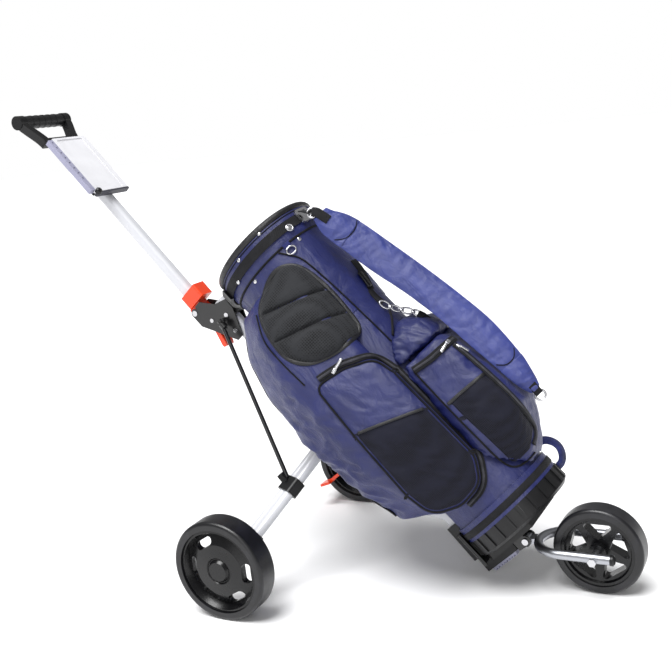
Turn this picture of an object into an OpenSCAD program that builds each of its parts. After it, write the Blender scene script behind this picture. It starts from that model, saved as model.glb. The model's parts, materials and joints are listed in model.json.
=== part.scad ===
// Golf bag strapped to a three-wheel folding push cart.
// +X points forward to the front wheel, +Y to the left, +Z up.
// The origin is on the ground, under the middle of the whole object.

/* [Layout] */
// Angle of the main tube and bag below the horizontal, degrees
tilt = 49; // [46:1:51]
// Distance from the rear axle to the front axle
wheelbase = 720; // [715:1:725]
// Distance between the middles of the rear tyres
track = 650; // [640:2:660]

/* [Wheels] */
// Radius of a rear tyre
rear_r = 112; // [110:1:114]
// Width of a rear tyre
rear_w = 56; // [50:1:58]
// Radius of the front tyre
front_r = 93; // [91:1:95]
// Width of the front tyre
front_w = 52; // [46:1:54]
// Radius of every wheel axle
axle_r = 6; // [5:0.5:7]

/* [Tubes] */
// Height of the main tubes, across the slope
tube_h = 30; // [28:1:32]
// Width of the main tubes, from side to side
tube_w = 26; // [24:1:28]
// Wide side of a leg tube
leg_w = 38; // [32:1:40]
// Narrow side of a leg tube
leg_t = 20; // [18:1:22]

/* [Bag] */
// Length of the bag from its base to the rim of its cuff
bag_len = 838; // [830:1:842]
// Outside radius of the bag's shell
bag_r = 120; // [118:1:121]
// Outside radius of the cuff at the bag's mouth
cuff_r = 136; // [134:1:137]
// Lean of the bag towards the tube, degrees
bag_lean = 2.3; // [2:0.1:2.5]

/* [Hidden] */
$fn = 64;
// Forward shift from the rear axle to the middle of the object
centre_x = 88.4;
// Running clearance of an axle or hinge pin in its hole
run = 0.05;
// Wall of every tube
tube_wall = 2.5;
// Gap between soft parts and their neighbours
soft_gap = 0.4;

// Distances along the slope (s, downwards) and square to it (n, up and forward)
upper_n = 243;
tube_top = -1122;
lower_n = 296;
low_end_n = 380;
hinge_s = -592;
hinge_n = 230;
leg_axis_y = 36;
leg_axis_n = 280;
hub_s = -150;
strut_s = -520;
base_s = 262;
base_n = 521;

// Rear axle line and leg foot, from the rear axle's middle
wheel_in = track / 2 - rear_w / 2;
foot_y = wheel_in - 24;
leg_root = [hub_s * cos(tilt) + leg_axis_n * sin(tilt), leg_axis_y,
            leg_axis_n * cos(tilt) - hub_s * sin(tilt)];
leg_foot = [0, foot_y, rear_r];
strut_top = [strut_s * cos(tilt) + leg_axis_n * sin(tilt), leg_axis_y,
             leg_axis_n * cos(tilt) - strut_s * sin(tilt)];
strut_share = 0.4;
strut_low = leg_root + strut_share * (leg_foot - leg_root);

// Front fork
fork_pivot_x = 566;
fork_pivot_z = 96;
fork_tube_r = 10;
fork_arm_y = 58;
fork_root_x = fork_pivot_x + 26;

// ---------- frames ----------

// From the rear axle's middle to the object's own origin
module from_axle() {
    translate([-centre_x, 0, 0]) children();
}

// x runs down the slope, z square to it
module on_slope(s = 0, n = 0) {
    from_axle() rotate([0, tilt, 0]) translate([s, 0, n]) children();
}

// x runs down the bag's own axis from its base, z up and forward
module on_bag(x = 0) {
    on_slope(base_s, base_n) rotate([0, -bag_lean, 0]) translate([x, 0, 0]) children();
}

// z runs from point a to point b
module from_to(a, b) {
    d = b - a;
    translate(a) rotate([0, acos(d.z / norm(d)), atan2(d.y, d.x)]) children();
}

// A part made for the left is mirrored for the right
module side(left) {
    if (left) children();
    else mirror([0, 1, 0]) children();
}

// ---------- shapes ----------

// Flat outline with round corners, exact arcs
module round_rect(w, h, r) {
    square([w - 2 * r, h], center = true);
    square([w, h - 2 * r], center = true);
    for (x = [-1, 1], y = [-1, 1])
        translate([x * (w / 2 - r), y * (h / 2 - r)]) circle(r);
}

// Cylinder along Y, from y0 to y1
module y_cyl(r, y0, y1) {
    translate([0, y1, 0]) rotate([90, 0, 0]) cylinder(r = r, h = y1 - y0);
}

// Cylinder along X, from x0 to x1
module x_cyl(r, x0, x1) {
    translate([x0, 0, 0]) rotate([0, 90, 0]) cylinder(r = r, h = x1 - x0);
}

// Ring along X
module x_ring(r_out, r_in, x0, x1) {
    difference() {
        x_cyl(r_out, x0, x1);
        x_cyl(r_in, x0 - 1, x1 + 1);
    }
}

// Main tube's outside, extruded down the slope
module slope_tube(length) {
    rotate([90, 0, 90]) linear_extrude(length) round_rect(tube_w, tube_h, 9);
}

// Main tube with its wall
module hollow_tube(length) {
    difference() {
        slope_tube(length);
        translate([-1, 0, 0]) rotate([90, 0, 90]) linear_extrude(length + 2)
            round_rect(tube_w - 2 * tube_wall, tube_h - 2 * tube_wall, 9 - tube_wall);
    }
}

// ---------- main tubes ----------

kink_s0 = 50;
kink_s1 = 152;
kink_angle = atan2(low_end_n - lower_n, kink_s1 - kink_s0);
kink_len = norm([low_end_n - lower_n, kink_s1 - kink_s0]);

module lower_tube() {
    color("white") {
        on_slope(-572, lower_n) hollow_tube(kink_s0 + 572);
        on_slope(kink_s0, lower_n) rotate([0, -kink_angle, 0]) hollow_tube(kink_len);
        on_slope(kink_s1, low_end_n) hollow_tube(70);
        // Weld plugs inside the two bends
        on_slope(kink_s0, lower_n) y_cyl(tube_h / 2 - 1.2, 1.4 - tube_w / 2, tube_w / 2 - 1.4);
        on_slope(kink_s1, low_end_n) y_cyl(tube_h / 2 - 1.2, 1.4 - tube_w / 2, tube_w / 2 - 1.4);
    }
}

module upper_tube() {
    color("white") on_slope(tube_top, upper_n) hollow_tube(hinge_s - 36 - tube_top);
}

// ---------- handle hinge ----------

cheek_t = 4;
cheek_in = 16.4;

module hinge_bracket() {
    color("black") on_slope(hinge_s, hinge_n) difference() {
        union() {
            for (y = [-cheek_in - cheek_t, cheek_in])
                translate([0, y + cheek_t, 0]) rotate([90, 0, 0])
                    linear_extrude(cheek_t) {
                        polygon([[0, 11], [-11, 11], [-11, 30], [22, 58], [34, 92], [62, 92],
                                 [124, 62], [124, 44], [60, 6], [34, -10], [0, -11]]);
                        circle(11);
                    }
            // Spacers that hold the tube in the middle
            for (y = [-cheek_in, 13.1])
                translate([64, y, 52]) cube([56, 3.3, 10]);
            // Web that joins the plates over the tube
            translate([33, -cheek_in - 1, 84]) cube([9, 2 * cheek_in + 2, 4]);
            // Stub pins that carry the struts
            translate([strut_s - hinge_s, 0, leg_axis_n - hinge_n])
                for (m = [0, 1]) mirror([0, m, 0]) {
                    translate([0, leg_axis_y, 0]) x_cyl(4, -10, 16);
                    translate([-10, 20, -6]) cube([6, 20, 12]);
                    translate([-10, leg_axis_y, 0]) x_cyl(7, 0, 6);
                }
        }
        y_cyl(4, -30, 30);
        translate([44, 0, 24]) y_cyl(3, -30, 30);
        translate([62, 0, 66]) y_cyl(2.5, -30, 30);
        translate([104, 0, 66 - 9]) y_cyl(2.5, -30, 30);
    }
}

module hinge_pin() {
    color("silver") on_slope(hinge_s, hinge_n) {
        y_cyl(4, -cheek_in - cheek_t, cheek_in + cheek_t);
        for (m = [0, 1]) mirror([0, m, 0]) y_cyl(7, cheek_in + cheek_t, cheek_in + cheek_t + 2.5);
    }
}

module bracket_rivets() {
    color("silver") on_slope(hinge_s, hinge_n)
        for (p = [[62, 66], [104, 57]]) translate([p.x, 0, p.y])
            for (m = [0, 1]) mirror([0, m, 0]) {
                y_cyl(2.5, cheek_in, cheek_in + cheek_t);
                y_cyl(5.5, cheek_in + cheek_t, cheek_in + cheek_t + 2.5);
            }
}

module hinge_clamp() {
    color("orangered") on_slope(hinge_s, hinge_n) difference() {
        union() {
            translate([-50, 0, 24]) rotate([90, 0, 90]) linear_extrude(35) round_rect(44, 56, 5);
            translate([-16, -15.8, -9]) cube([16, 31.6, 36]);
            y_cyl(9, -15.8, 15.8);
            translate([-2, -15.8, 0]) cube([9, 31.6, 20]);
        }
        y_cyl(4 + run, -20, 20);
        translate([-51, 0, upper_n - hinge_n]) slope_tube(18);
    }
}

module latch_lever() {
    color("orangered") on_slope(hinge_s + 44, hinge_n + 24) translate([0, 15.8, 0])
        rotate([90, 0, 0]) linear_extrude(31.6) difference() {
            union() {
                circle(8);
                polygon([[-5, -1], [-5, -10], [8, -13], [58, -28], [64, -27], [66, -20], [60, -16],
                         [10, -2]]);
            }
            circle(3 + run);
        }
}

module latch_pin() {
    color("silver") on_slope(hinge_s + 44, hinge_n + 24) {
        y_cyl(3, -cheek_in - cheek_t, cheek_in + cheek_t);
        for (m = [0, 1]) mirror([0, m, 0]) y_cyl(5, cheek_in + cheek_t, cheek_in + cheek_t + 2);
    }
}

// ---------- handle and scorecard tray ----------

grip_s = -1228;
grip_half = 64;
tray_s0 = -1144;
tray_len = 180;
tray_w = 118;
tray_n = upper_n + 22;

// Half width of the D from its grip (t = 0) down to the tray (t = 1)
function d_half(t) = 60 + 13 * (1 + cos(180 * t));
d_steps = 14;
d_len = 80;
arm_w = 20;

// Outline of the D, or of its window when inset
module d_outline(inset) {
    polygon(concat(
        [for (i = [0 : d_steps]) [i / d_steps * d_len, d_half(i / d_steps) - inset]],
        [for (i = [d_steps : -1 : 0]) [i / d_steps * d_len, inset - d_half(i / d_steps)]]));
}

module handle_frame() {
    color("black") on_slope(grip_s, upper_n + 4) difference() {
        union() {
            translate([0, 0, -10]) linear_extrude(21.1) d_outline(0);
            for (m = [0, 1]) mirror([0, m, 0]) y_cyl(17, grip_half + 1, 86);
            // Plate under the scorecard tray and the clamp round the tube
            translate([d_len - 4, -58.9, 11]) cube([tray_len + 6, 117.8, 6.9]);
            translate([d_len - 8, 0, -4]) rotate([90, 0, 90]) linear_extrude(80) round_rect(40, 44, 10);
        }
        difference() {
            translate([0, 0, -11]) linear_extrude(24) d_outline(arm_w);
            translate([d_len - 14, -90, -20]) cube([60, 180, 40]);
        }
        y_cyl(9, -80, 80);
        translate([-20, -grip_half - 1, -20]) cube([37, 2 * grip_half + 2, 40]);
        translate([tube_top - grip_s, 0, -4]) slope_tube(60);
    }
}

module handle_grip() {
    color("dimgray") on_slope(grip_s, upper_n + 4) difference() {
        union() {
            y_cyl(15.5, -grip_half, grip_half);
            for (y = [-40 : 20 : 40]) translate([0, y, 0]) y_cyl(16.2, -3, 3);
            y_cyl(9, -80, 80);
        }
        y_cyl(4, -90, 90);
    }
}

module score_tray() {
    color("white") on_slope(tray_s0 + tray_len / 2, tray_n) difference() {
        linear_extrude(9) round_rect(tray_len, tray_w, 8);
        translate([0, 0, 7]) linear_extrude(3) round_rect(tray_len - 12, tray_w - 30, 5);
    }
}

module tray_lip() {
    color("dimgray") on_slope(tray_s0 + tray_len, tray_n)
        translate([0, -tray_w / 2 + 2, -4]) cube([5, tray_w - 4, 14]);
}

module tee_rack() {
    color("lavender") on_slope(tray_s0, tray_n) difference() {
        translate([6, -tray_w / 2 - 14, -3]) cube([tray_len - 12, 14, 14]);
        for (i = [0 : 7]) translate([15 + i * 17, -tray_w / 2 - 7, -4])
            cylinder(r = 2.6, h = 20, $fn = 32);
    }
}

module tray_knob() {
    color("black") on_slope(tray_s0 + tray_len - 2, tray_n + 11)
        translate([6, -tray_w / 2 - 1, 0.1]) {
            cylinder(r = 8, h = 9);
            translate([0, 0, 9]) cylinder(r1 = 8, r2 = 5, h = 3);
        }
}

// ---------- bag supports ----------

strap_x = -bag_len + 42;
strap_t = 2.4;

module upper_cradle() {
    color("black") difference() {
        union() {
            on_bag(strap_x - 14) intersection() {
                x_ring(cuff_r + 12, cuff_r + strap_t + 2 * soft_gap, 0, 28);
                translate([0, -150, -200]) cube([28, 300, 110]);
            }
            on_slope(-548, lower_n) translate([0, -12.9, 15]) cube([30, 25.8, 48]);
        }
        on_bag(strap_x - 40) x_cyl(cuff_r + strap_t + 2 * soft_gap, 0, 90);
    }
}

module cuff_strap() {
    color("black") on_bag(strap_x - 11)
        x_ring(cuff_r + soft_gap + strap_t, cuff_r + soft_gap, 0, 22);
}

module strap_buckle() {
    color("silver") on_bag(strap_x) rotate([10, 0, 0])
        translate([0, 0, cuff_r + soft_gap + strap_t]) difference() {
            translate([0, 0, 0.1]) linear_extrude(6) round_rect(34, 40, 5);
            translate([0, 0, 3]) linear_extrude(6) round_rect(22, 26, 3);
        }
}

module mid_cradle() {
    color("black") difference() {
        on_slope(-255, lower_n) translate([0, -17, 15]) cube([70, 34, 80]);
        on_bag(-640) x_cyl(bag_r + soft_gap, 0, 300);
        on_slope(-240, lower_n + 28) translate([0, -30, 0]) cube([40, 60, 30]);
    }
}

module leg_hub() {
    color("black") on_slope(hub_s, 0) difference() {
        translate([0, 0, lower_n - 8]) rotate([90, 0, 90]) translate([0, 0, -30])
            linear_extrude(60) round_rect(112, 50, 12);
        translate([-40, 0, lower_n]) slope_tube(80);
        // Pockets in which the leg roots turn
        for (m = [0, 1]) mirror([0, m, 0]) {
            translate([-13, 20, lower_n - 60]) cube([26, 60, 59]);
            translate([-13, 38, lower_n - 60]) cube([36, 60, 59]);
            translate([0, leg_axis_y, leg_axis_n]) x_cyl(5, -40, 40);
            translate([0, leg_axis_y, leg_axis_n]) x_cyl(16, -13, 13);
        }
    }
}

module hub_pins() {
    color("silver") on_slope(hub_s, leg_axis_n)
        for (y = [-leg_axis_y, leg_axis_y]) translate([0, y, 0]) {
            x_cyl(5, -30, 30);
            x_cyl(8, 30, 33);
            x_cyl(8, -33, -30);
        }
}

// ---------- legs ----------

// Two ridged tubes side by side, in one
module leg_section() {
    round_rect(leg_t, leg_w, 7);
    for (y = [-9, 9]) translate([0, y]) circle(leg_t / 2 + 1.5);
}

module leg(left) {
    leg_len = norm(leg_foot - leg_root);
    color("white") from_axle() side(left) difference() {
        union() {
            from_to(leg_root, leg_foot) {
                translate([0, 0, 32]) linear_extrude(leg_len - 58) leg_section();
                translate([-8, -10, 6]) cube([16, 20, 28]);
            }
            leg_eye(12, 12);
        }
        leg_eye(5 + run, 20);
        from_to(leg_root, leg_foot) translate([0, 0, 40]) linear_extrude(leg_len)
            round_rect(leg_t - 2 * tube_wall, leg_w - 2 * tube_wall, 5);
    }
}

// Cylinder on the leg's fold axis
module leg_eye(r, half) {
    translate(leg_root) rotate([0, tilt, 0]) x_cyl(r, -half, half);
}

module leg_left() {
    leg(true);
}

module leg_right() {
    leg(false);
}

module foot(left) {
    color("black") from_axle() side(left) difference() {
        union() {
            translate([0, 0, rear_r]) y_cyl(20, foot_y - 14, wheel_in - 2);
            from_to(leg_foot, leg_root) translate([0, 0, 2])
                linear_extrude(60) round_rect(leg_t + 10, leg_w + 6, 8);
        }
        translate([0, 0, rear_r]) y_cyl(axle_r, foot_y - 40, wheel_in + 10);
        from_to(leg_foot, leg_root) translate([0, 0, 25.9]) linear_extrude(60) leg_section();
        translate([0, wheel_in - 2, rear_r]) rotate([-90, 0, 0]) cylinder(r = 60, h = 30);
    }
}

module foot_left() {
    foot(true);
}

module foot_right() {
    foot(false);
}

module sleeve(left) {
    leg_len = norm(leg_foot - leg_root);
    color("black") from_axle() side(left) difference() {
        union() {
            from_to(leg_root, leg_foot) translate([0, 0, strut_share * leg_len - 18])
                linear_extrude(36) round_rect(leg_t + 12, leg_w + 8, 8);
            translate(strut_low) rotate([0, tilt, 0]) translate([-38, -7, -7]) cube([22, 14, 14]);
        }
        from_to(leg_root, leg_foot) translate([0, 0, strut_share * leg_len - 30])
            linear_extrude(60) leg_section();
        from_to(strut_low, strut_top) cylinder(r = 5, h = 80);
    }
}

module sleeve_left() {
    sleeve(true);
}

module sleeve_right() {
    sleeve(false);
}

module strut(left) {
    span = norm(strut_top - strut_low);
    color("black") from_axle() side(left) difference() {
        union() {
            from_to(strut_low, strut_top) translate([0, 0, 24]) cylinder(r = 5, h = span - 31);
            translate(strut_top) rotate([0, tilt, 0]) x_cyl(9, 0, 12);
        }
        translate(strut_top) rotate([0, tilt, 0]) x_cyl(4 + run, -20, 20);
    }
}

module strut_left() {
    strut(true);
}

module strut_right() {
    strut(false);
}

module axle(left) {
    color("silver") from_axle() side(left) translate([0, 0, rear_r]) {
        y_cyl(axle_r, foot_y - 8, wheel_in + rear_w - 10);
        y_cyl(10, wheel_in - 1, wheel_in + 3);
    }
}

module axle_left() {
    axle(true);
}

module axle_right() {
    axle(false);
}

// ---------- wheels ----------

// Round of a tyre's shoulder
shoulder = 8;

// Tyre about Y, centred on its own middle
module tyre(r, w, rim_r) {
    rotate([90, 0, 0]) rotate_extrude($fn = 96) translate([rim_r, 0]) {
        translate([(r - rim_r) / 2, 0]) square([r - rim_r, w - 2 * shoulder], center = true);
        translate([(r - rim_r - shoulder) / 2, 0]) square([r - rim_r - shoulder, w], center = true);
        for (y = [-1, 1]) translate([r - rim_r - shoulder, y * (w / 2 - shoulder)])
            circle(shoulder, $fn = 32);
    }
}

module rear_tyre(left) {
    color("#202020") from_axle() side(left) translate([0, track / 2, rear_r])
        tyre(rear_r, rear_w, 94);
}

module rear_tyre_left() {
    rear_tyre(true);
}

module rear_tyre_right() {
    rear_tyre(false);
}

module rear_rim(left) {
    color("black") from_axle() side(left) translate([0, track / 2, rear_r])
        rotate([-90, 0, 0]) difference() {
            rotate_extrude($fn = 96)
                polygon([[axle_r + run, -24], [18, -24], [18, 4], [80, 2], [87, -22], [94, -22],
                         [94, 24], [88, 25], [80, 10], [58, 20], [30, 23], [27, 20], [axle_r + run, 20]]);
            for (a = [0 : 60 : 240]) rotate(a) for (t = [-1, 1])
                translate([66, t * 13, 0]) cylinder(r = 9, h = 60, center = true, $fn = 32);
            for (a = [0 : 60 : 240]) rotate(a)
                translate([57, -13, -30]) cube([18, 26, 60]);
        }
}

module rear_rim_left() {
    rear_rim(true);
}

module rear_rim_right() {
    rear_rim(false);
}

module rear_cap(left) {
    color("black") from_axle() side(left) translate([0, track / 2, rear_r])
        rotate([-90, 0, 0]) {
            translate([0, 0, 20]) cylinder(r1 = 26, r2 = 21, h = 7);
        }
}

module rear_cap_left() {
    rear_cap(true);
}

module rear_cap_right() {
    rear_cap(false);
}

// ---------- foot brake ----------

brake_x = -30;
brake_z = 96;

module brake_lever() {
    color("orangered") from_axle() translate([brake_x, 0, brake_z]) difference() {
        union() {
            y_cyl(8, foot_y - 6, foot_y + 8);
            rotate([0, -38, 0]) translate([-46, foot_y - 6, -4]) cube([46, 14, 8]);
            translate([-62, foot_y - 16, -44]) rotate([0, -20, 0]) cube([30, 34, 7]);
        }
        y_cyl(3 + run, foot_y - 20, foot_y + 20);
    }
}

module brake_pin() {
    color("black") from_axle() translate([brake_x, 0, brake_z]) {
        y_cyl(3, foot_y - 14, foot_y + 16);
        for (y = [foot_y - 13, foot_y + 10]) difference() {
            translate([-6, y, -6]) cube([18, 5, 22]);
            translate([-brake_x, 0, rear_r - brake_z]) y_cyl(20, 0, 400);
        }
    }
}

// ---------- lower cradle and front fork ----------

module lower_cradle() {
    color("black") difference() {
        union() {
            // Shoe round the end of the tube
            on_slope(176, low_end_n) rotate([90, 0, 90]) linear_extrude(90) round_rect(44, 42, 10);
            // Platform across the bag's base
            on_bag(soft_gap) intersection() {
                x_cyl(bag_r - 6, 0, 14);
                translate([-1, -80, -130]) cube([40, 160, 170]);
            }
            // Beam behind the platform
            on_slope(264, 0) translate([0, -20, 372]) cube([38, 40, 92]);
            // Arms that cup the base
            on_bag(-70) intersection() {
                x_ring(bag_r + 15, bag_r + 9, 0, 84);
                translate([0, -90, -160]) cube([84, 180, 65]);
            }
        }
        on_slope(170, low_end_n) slope_tube(52);
        on_bag(-150) x_cyl(bag_r + 9, 0, 150 + soft_gap);
        // Keep the shoe off the ground
        translate([-400, -200, -100]) cube([1200, 400, 106]);
    }
}

module ratchet_strip() {
    color("gray") on_slope(302, 0) {
        translate([0, -8, 378]) cube([6, 16, 72]);
        for (i = [0 : 8]) translate([6, -8, 380 + i * 8]) cube([4, 16, 4]);
    }
}

fork_pivot_s = fork_pivot_x * cos(tilt) - fork_pivot_z * sin(tilt);
fork_pivot_n = fork_pivot_x * sin(tilt) + fork_pivot_z * cos(tilt);

module fork_bracket() {
    color("black") on_slope(fork_pivot_s, fork_pivot_n) difference() {
        union() {
            for (y = [-14, 18]) translate([0, y, 0]) rotate([90, 0, 0]) linear_extrude(4) {
                circle(12);
                polygon([[-18, -26], [8, -26], [11, 4], [-18, 4]]);
            }
            translate([-18, -14.5, -26]) cube([5, 29, 30]);
        }
        y_cyl(4, -30, 30);
    }
}

module fork_pin() {
    color("silver") from_axle() translate([fork_pivot_x, 0, fork_pivot_z]) {
        y_cyl(4, -18, 18);
        for (m = [0, 1]) mirror([0, m, 0]) y_cyl(7, 18, 22);
    }
}

fork_arm_len = wheelbase + 34 - fork_root_x - fork_arm_y;

module fork_tube() {
    color("silver") from_axle() translate([0, 0, fork_pivot_z]) difference() {
        union() {
            // Bent root
            translate([fork_root_x + fork_arm_y, 0, 0]) rotate(90)
                rotate_extrude(angle = 180, $fn = 96) translate([fork_arm_y, 0])
                    circle(fork_tube_r, $fn = 32);
            for (y = [-fork_arm_y, fork_arm_y])
                translate([fork_root_x + fork_arm_y, y, 0]) x_cyl(fork_tube_r, 0, fork_arm_len);
            // Lug on the pivot pin
            translate([fork_pivot_x, 0, 0]) y_cyl(9, -13.6, 13.6);
            translate([fork_pivot_x, -13.6, -6]) cube([24, 27.2, 12]);
        }
        translate([fork_pivot_x, 0, 0]) y_cyl(4 + run, -30, 30);
        translate([wheelbase, 0, front_r - fork_pivot_z]) y_cyl(axle_r, -90, 90);
    }
}

module fork_plugs() {
    color("black") from_axle() translate([fork_root_x + fork_arm_y + fork_arm_len, 0, fork_pivot_z])
        for (y = [-fork_arm_y, fork_arm_y]) translate([0, y, 0]) {
            x_cyl(fork_tube_r + 1, 0, 6);
            translate([6, 0, 0]) rotate([0, 90, 0]) cylinder(r1 = fork_tube_r + 1, r2 = 7, h = 3);
        }
}

module front_axle() {
    color("silver") from_axle() translate([wheelbase, 0, front_r]) {
        y_cyl(axle_r, -fork_arm_y - fork_tube_r, fork_arm_y + fork_tube_r);
        for (m = [0, 1]) mirror([0, m, 0]) {
            translate([0, fork_arm_y + fork_tube_r + 7, 0]) rotate([90, 0, 0])
                cylinder(r = 9, h = 7, $fn = 6);
            y_cyl(9, front_w / 2 + 2, fork_arm_y - fork_tube_r);
        }
    }
}

module front_tyre() {
    color("#202020") from_axle() translate([wheelbase, 0, front_r]) tyre(front_r, front_w, 76);
}

module front_rim() {
    color("black") from_axle() translate([wheelbase, 0, front_r]) rotate([90, 0, 0]) difference() {
        rotate_extrude($fn = 96) polygon([[axle_r + run, -27], [18, -27], [18, -13], [66, -17],
            [69, -23], [76, -23], [76, 23], [69, 23], [66, 17], [18, 13], [18, 27], [axle_r + run, 27]]);
        for (a = [0 : 72 : 288]) rotate(a + 18) linear_extrude(60, center = true)
            hull() {
                translate([28, 0]) circle(4, $fn = 32);
                for (t = [-1, 1]) rotate(t * 23) translate([57, 0]) circle(6, $fn = 32);
            }
    }
}

// ---------- bag ----------

cuff_len = 103;
base_len = 42;
shell_t = 8;

module bag_shell() {
    color("midnightblue") on_bag() difference() {
        x_cyl(bag_r, -bag_len + cuff_len, -base_len);
        x_cyl(bag_r - shell_t, -bag_len + cuff_len - 1, -base_len - 12);
    }
}

module bag_cuff() {
    color("navy") on_bag() difference() {
        union() {
            x_cyl(cuff_r, -bag_len, -bag_len + 76);
            translate([-bag_len + 76, 0, 0]) rotate([0, 90, 0])
                cylinder(r1 = cuff_r, r2 = bag_r + 2, h = cuff_len - 76);
        }
        x_cyl(bag_r - shell_t, -bag_len - 1, -bag_len + cuff_len + 1);
    }
}

divider_r = bag_r - shell_t - 1;

module club_divider() {
    color("dimgray") on_bag(-bag_len + 8) {
        x_ring(divider_r + 1, divider_r - 6, 0, 26);
        intersection() {
            x_cyl(divider_r, 0, 26);
            union() {
                translate([0, -6, -150]) cube([26, 12, 300]);
                for (z = [-38, 38]) translate([0, -150, z - 6]) cube([26, 300, 12]);
            }
        }
    }
}

module base_band() {
    color("black") on_bag() x_ring(bag_r + 3, bag_r, -base_len - 34, -base_len);
}

module bag_base() {
    color("#181818") on_bag() union() {
        x_cyl(bag_r + 2, -base_len, -6);
        translate([-6, 0, 0]) rotate([0, 90, 0]) cylinder(r1 = bag_r + 2, r2 = bag_r - 6, h = 6);
        for (a = [0 : 15 : 345]) rotate([a, 0, 0])
            translate([-base_len, -4, bag_r]) cube([base_len - 8, 8, 5]);
    }
}

// Turn of the bag's near face about its axis: y runs across the face, z out of it
face_turn = 59.2;

module on_face() {
    on_bag() rotate([face_turn, 0, 0]) children();
}

// Swelling along the bag; rounds are [across, out, radius], sizes are [along, scale]
module swell(rounds, sizes, extra = 0) {
    hull()
        for (s = sizes)
            for (c = rounds)
                translate([s[0], c[0] * s[1], c[1] * s[1]]) rotate([0, 90, 0])
                    cylinder(r = c[2] * s[1] + extra, h = 1, $fn = 32);
}

near_rounds = [[-21, 137, 30], [-144, 124, 42], [-184, 50, 50]];
near_sizes = [[-736, 0.63], [-654, 0.85], [-560, 0.96], [-440, 1], [-300, 0.96], [-180, 0.8],
              [-130, 0.56]];

module side_pocket_right() {
    color("navy") on_face() difference() {
        swell(near_rounds, near_sizes);
        x_cyl(bag_r + 3 + soft_gap, -800, 10);
    }
}

module side_pocket_left() {
    color("navy") on_bag() difference() {
        translate([0, 105, -58]) {
            translate([-480, 0, 0]) rotate([0, 90, 0]) cylinder(r1 = 46, r2 = 78, h = 90);
            x_cyl(78, -390, -240);
            translate([-240, 0, 0]) rotate([0, 90, 0]) cylinder(r1 = 78, r2 = 48, h = 96);
        }
        x_cyl(bag_r + 3 + soft_gap, -800, 10);
    }
}

front_rounds = [[-40, 165, 38], [40, 165, 38], [-72, 97, 36], [72, 97, 36]];

module front_pocket(sizes) {
    difference() {
        swell(front_rounds, sizes);
        x_cyl(bag_r + 3 + soft_gap, -800, 10);
    }
}

module front_pocket_upper() {
    color("navy") on_bag() front_pocket([[-484, 0.62], [-450, 0.8], [-408, 0.87]]);
}

module front_pocket_lower() {
    color("navy") on_bag()
        front_pocket([[-404, 0.86], [-340, 0.94], [-250, 1], [-185, 0.99], [-110, 0.76], [-66, 0.58]]);
}

module side_pad() {
    color("black") on_face() difference() {
        intersection() {
            union() {
                x_cyl(bag_r + 13, -735, -545);
                swell(near_rounds, near_sizes, 10);
            }
            translate([-735, -150, 40]) cube([190, 162, 160]);
        }
        x_cyl(bag_r + 3, -800, -500);
        swell(near_rounds, near_sizes, soft_gap);
    }
}

// Middle of the shoulder strap: along the bag, across its near face, out of it, half width
strap_line = [[-760, 131, 127, 19], [-728, 134, 124, 30], [-688, 145, 120, 36], [-608, 160, 116, 37],
              [-514, 177, 119, 34], [-423, 188, 124, 34], [-342, 195, 128, 35], [-262, 197, 128, 29],
              [-208, 192, 126, 23], [-180, 194, 117, 12]];
strap_last = len(strap_line) - 1;
pad_t = 14;

module shoulder_strap() {
    color("navy") on_face() intersection() {
        translate([0, 0, 60]) linear_extrude(120) polygon([
            for (p = strap_line) [p[0], p[1] + p[3]],
            for (i = [strap_last : -1 : 0]) [strap_line[i][0], strap_line[i][1] - strap_line[i][3]]]);
        translate([0, 260, 0]) rotate([90, 0, 0]) linear_extrude(220) polygon([
            for (p = strap_line) [p[0], p[2] + pad_t / 2],
            for (i = [strap_last : -1 : 0]) [strap_line[i][0], strap_line[i][2] - pad_t / 2]]);
    }
}

module strap_rings() {
    color("silver") on_face()
        for (p = [[-776, 120, 128], [-166, 194, 112]]) translate(p)
            rotate_extrude() translate([10.6, 0]) circle(2.4, $fn = 32);
}

module carry_loop() {
    color("navy") on_face() translate([-62, bag_r + 6, -26]) linear_extrude(26) difference() {
        circle(34);
        circle(31);
        translate([-50, -80]) square([100, 80]);
    }
}

// ---------- drawing ----------

lower_tube();
upper_tube();
hinge_bracket();
hinge_pin();
bracket_rivets();
hinge_clamp();
latch_lever();
latch_pin();
handle_frame();
handle_grip();
score_tray();
tray_lip();
tee_rack();
tray_knob();
upper_cradle();
cuff_strap();
strap_buckle();
mid_cradle();
leg_hub();
hub_pins();
leg_left();
leg_right();
foot_left();
foot_right();
strut_left();
strut_right();
sleeve_left();
sleeve_right();
axle_left();
axle_right();
rear_tyre_left();
rear_tyre_right();
rear_rim_left();
rear_rim_right();
rear_cap_left();
rear_cap_right();
brake_lever();
brake_pin();
lower_cradle();
ratchet_strip();
fork_bracket();
fork_pin();
fork_tube();
fork_plugs();
front_axle();
front_tyre();
front_rim();
bag_shell();
bag_cuff();
club_divider();
base_band();
bag_base();
side_pocket_left();
side_pocket_right();
front_pocket_upper();
front_pocket_lower();
side_pad();
shoulder_strap();
strap_rings();
carry_loop();
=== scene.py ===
# Golf bag on a folding push cart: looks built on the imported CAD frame, in metres.
import json
import math
import bmesh
import bpy
import numpy as np
from mathutils import Matrix, Vector, geometry, noise
from mathutils.bvhtree import BVHTree

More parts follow.
